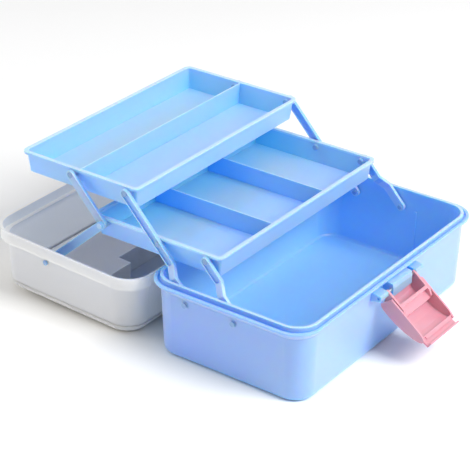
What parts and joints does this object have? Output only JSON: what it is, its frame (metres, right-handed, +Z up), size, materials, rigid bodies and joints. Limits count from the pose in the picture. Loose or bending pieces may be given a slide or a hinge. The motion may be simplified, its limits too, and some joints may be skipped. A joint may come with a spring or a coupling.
{
  "type": "tiered tool box",
  "caption": "Hinged-lid plastic tool box with two cantilever trays raised to the rear on side levers, a front latch and a folding carry handle in the lid.",
  "frame": {"origin": "centre of the base's flat foot", "axes": "+Z up, +X along the length, +Y to the rear, towards the hinge; the latch faces -Y. Stored open, as pictured."},
  "size_m": [0.34, 0.4726, 0.1679],
  "materials": {
    "blue_plastic": "moulded polypropylene, soft gloss",
    "pin_plastic": "moulded nylon, satin",
    "steel": "drawn wire, zinc plated",
    "grey_plastic": "moulded polypropylene, warm off-white, soft gloss",
    "pink_plastic": "moulded translucent pink-red, gloss",
    "lever_plastic": "moulded polypropylene, soft gloss"
  },
  "bodies": {
    "base": {"base_tub": "blue_plastic", "base_lever_pins": "pin_plastic", "latch_pin": "steel"},
    "hinge_pins": {"hinge_pins": "steel"},
    "lid": {"lid_shell": "grey_plastic", "lid_link_pins": "pin_plastic", "handle_pins": "steel"},
    "handle": {"handle": "pink_plastic"},
    "latch": {"latch": "pink_plastic"},
    "lower_tray": {"lower_tray": "blue_plastic", "lower_tray_pins": "pin_plastic"},
    "upper_tray": {"upper_tray": "blue_plastic", "upper_tray_pins": "pin_plastic"},
    "long_lever_near": {"long_lever_near": "lever_plastic"},
    "long_lever_far": {"long_lever_far": "lever_plastic"},
    "short_lever_near": {"short_lever_near": "lever_plastic"},
    "short_lever_far": {"short_lever_far": "lever_plastic"},
    "rear_lever_near": {"rear_lever_near": "lever_plastic"},
    "rear_lever_far": {"rear_lever_far": "lever_plastic"},
    "lid_link_near": {"lid_link_near": "lever_plastic"},
    "lid_link_far": {"lid_link_far": "lever_plastic"}
  },
  "joints": [
    {"name": "lid_fold", "type": "hinge", "parent": "base", "child": "hinge_pins", "pos_m": [0, 0.1052, 0.0788], "axis": [1, 0, 0], "range_deg": [0, 142]},
    {"name": "lid_close", "type": "hinge", "parent": "hinge_pins", "child": "lid", "pos_m": [0, 0.1052, 0.0788], "axis": [1, 0, 0], "range_deg": [0, 35.8]},
    {"name": "long_lever_near_pivot", "type": "hinge", "parent": "base", "child": "long_lever_near", "pos_m": [-0.15, 0.0505, 0.0684], "axis": [1, 0, 0], "range_deg": [0, 110.3]},
    {"name": "short_lever_near_pivot", "type": "hinge", "parent": "base", "child": "short_lever_near", "pos_m": [-0.15, -0.0095, 0.0684], "axis": [1, 0, 0], "range_deg": [0, 110.3]},
    {"name": "long_lever_far_pivot", "type": "hinge", "parent": "base", "child": "long_lever_far", "pos_m": [0.15, 0.0505, 0.0684], "axis": [1, 0, 0], "range_deg": [0, 110.3]},
    {"name": "short_lever_far_pivot", "type": "hinge", "parent": "base", "child": "short_lever_far", "pos_m": [0.15, -0.0095, 0.0684], "axis": [1, 0, 0], "range_deg": [0, 110.3]},
    {"name": "lower_tray_pivot", "type": "hinge", "parent": "long_lever_near", "child": "lower_tray", "pos_m": [0, 0.096, 0.1169], "axis": [1, 0, 0], "range_deg": [-110.3, 0]},
    {"name": "upper_tray_pivot", "type": "hinge", "parent": "long_lever_near", "child": "upper_tray", "pos_m": [0, 0.13773, 0.16139], "axis": [1, 0, 0], "range_deg": [-110.3, 0]},
    {"name": "rear_lever_near_pivot", "type": "hinge", "parent": "lower_tray", "child": "rear_lever_near", "pos_m": [-0.15, 0.168, 0.1169], "axis": [1, 0, 0], "range_deg": [0, 110.3]},
    {"name": "rear_lever_far_pivot", "type": "hinge", "parent": "lower_tray", "child": "rear_lever_far", "pos_m": [0.15, 0.168, 0.1169], "axis": [1, 0, 0], "range_deg": [0, 110.3]},
    {"name": "lid_link_near_pivot", "type": "hinge", "parent": "lid", "child": "lid_link_near", "pos_m": [-0.152, 0.23485, 0.05666], "axis": [1, 0, 0], "range_deg": [0, 36.8]},
    {"name": "lid_link_far_pivot", "type": "hinge", "parent": "lid", "child": "lid_link_far", "pos_m": [0.152, 0.23485, 0.05666], "axis": [1, 0, 0], "range_deg": [0, 36.8]},
    {"name": "handle_pivot", "type": "hinge", "parent": "lid", "child": "handle", "pos_m": [0, 0.20098, 0.01353], "axis": [1, 0, 0], "range_deg": [-95, 0]},
    {"name": "latch_pivot", "type": "hinge", "parent": "base", "child": "latch", "pos_m": [0, -0.103, 0.0734], "axis": [1, 0, 0], "range_deg": [-128, 0]}
  ],
  "couplings": [
    {"joint": "long_lever_near_pivot", "follows": "lid_fold", "ratio": 0.77585},
    {"joint": "short_lever_near_pivot", "follows": "lid_fold", "ratio": 0.77585},
    {"joint": "long_lever_far_pivot", "follows": "lid_fold", "ratio": 0.77585},
    {"joint": "short_lever_far_pivot", "follows": "lid_fold", "ratio": 0.77585},
    {"joint": "lower_tray_pivot", "follows": "lid_fold", "ratio": -0.77585},
    {"joint": "upper_tray_pivot", "follows": "lid_fold", "ratio": -0.77585},
    {"joint": "rear_lever_near_pivot", "follows": "lid_fold", "ratio": 0.77585},
    {"joint": "rear_lever_far_pivot", "follows": "lid_fold", "ratio": 0.77585},
    {"joint": "lid_link_near_pivot", "follows": "lid_fold", "ratio": 0.25704},
    {"joint": "lid_link_far_pivot", "follows": "lid_fold", "ratio": 0.25704}
  ]
}
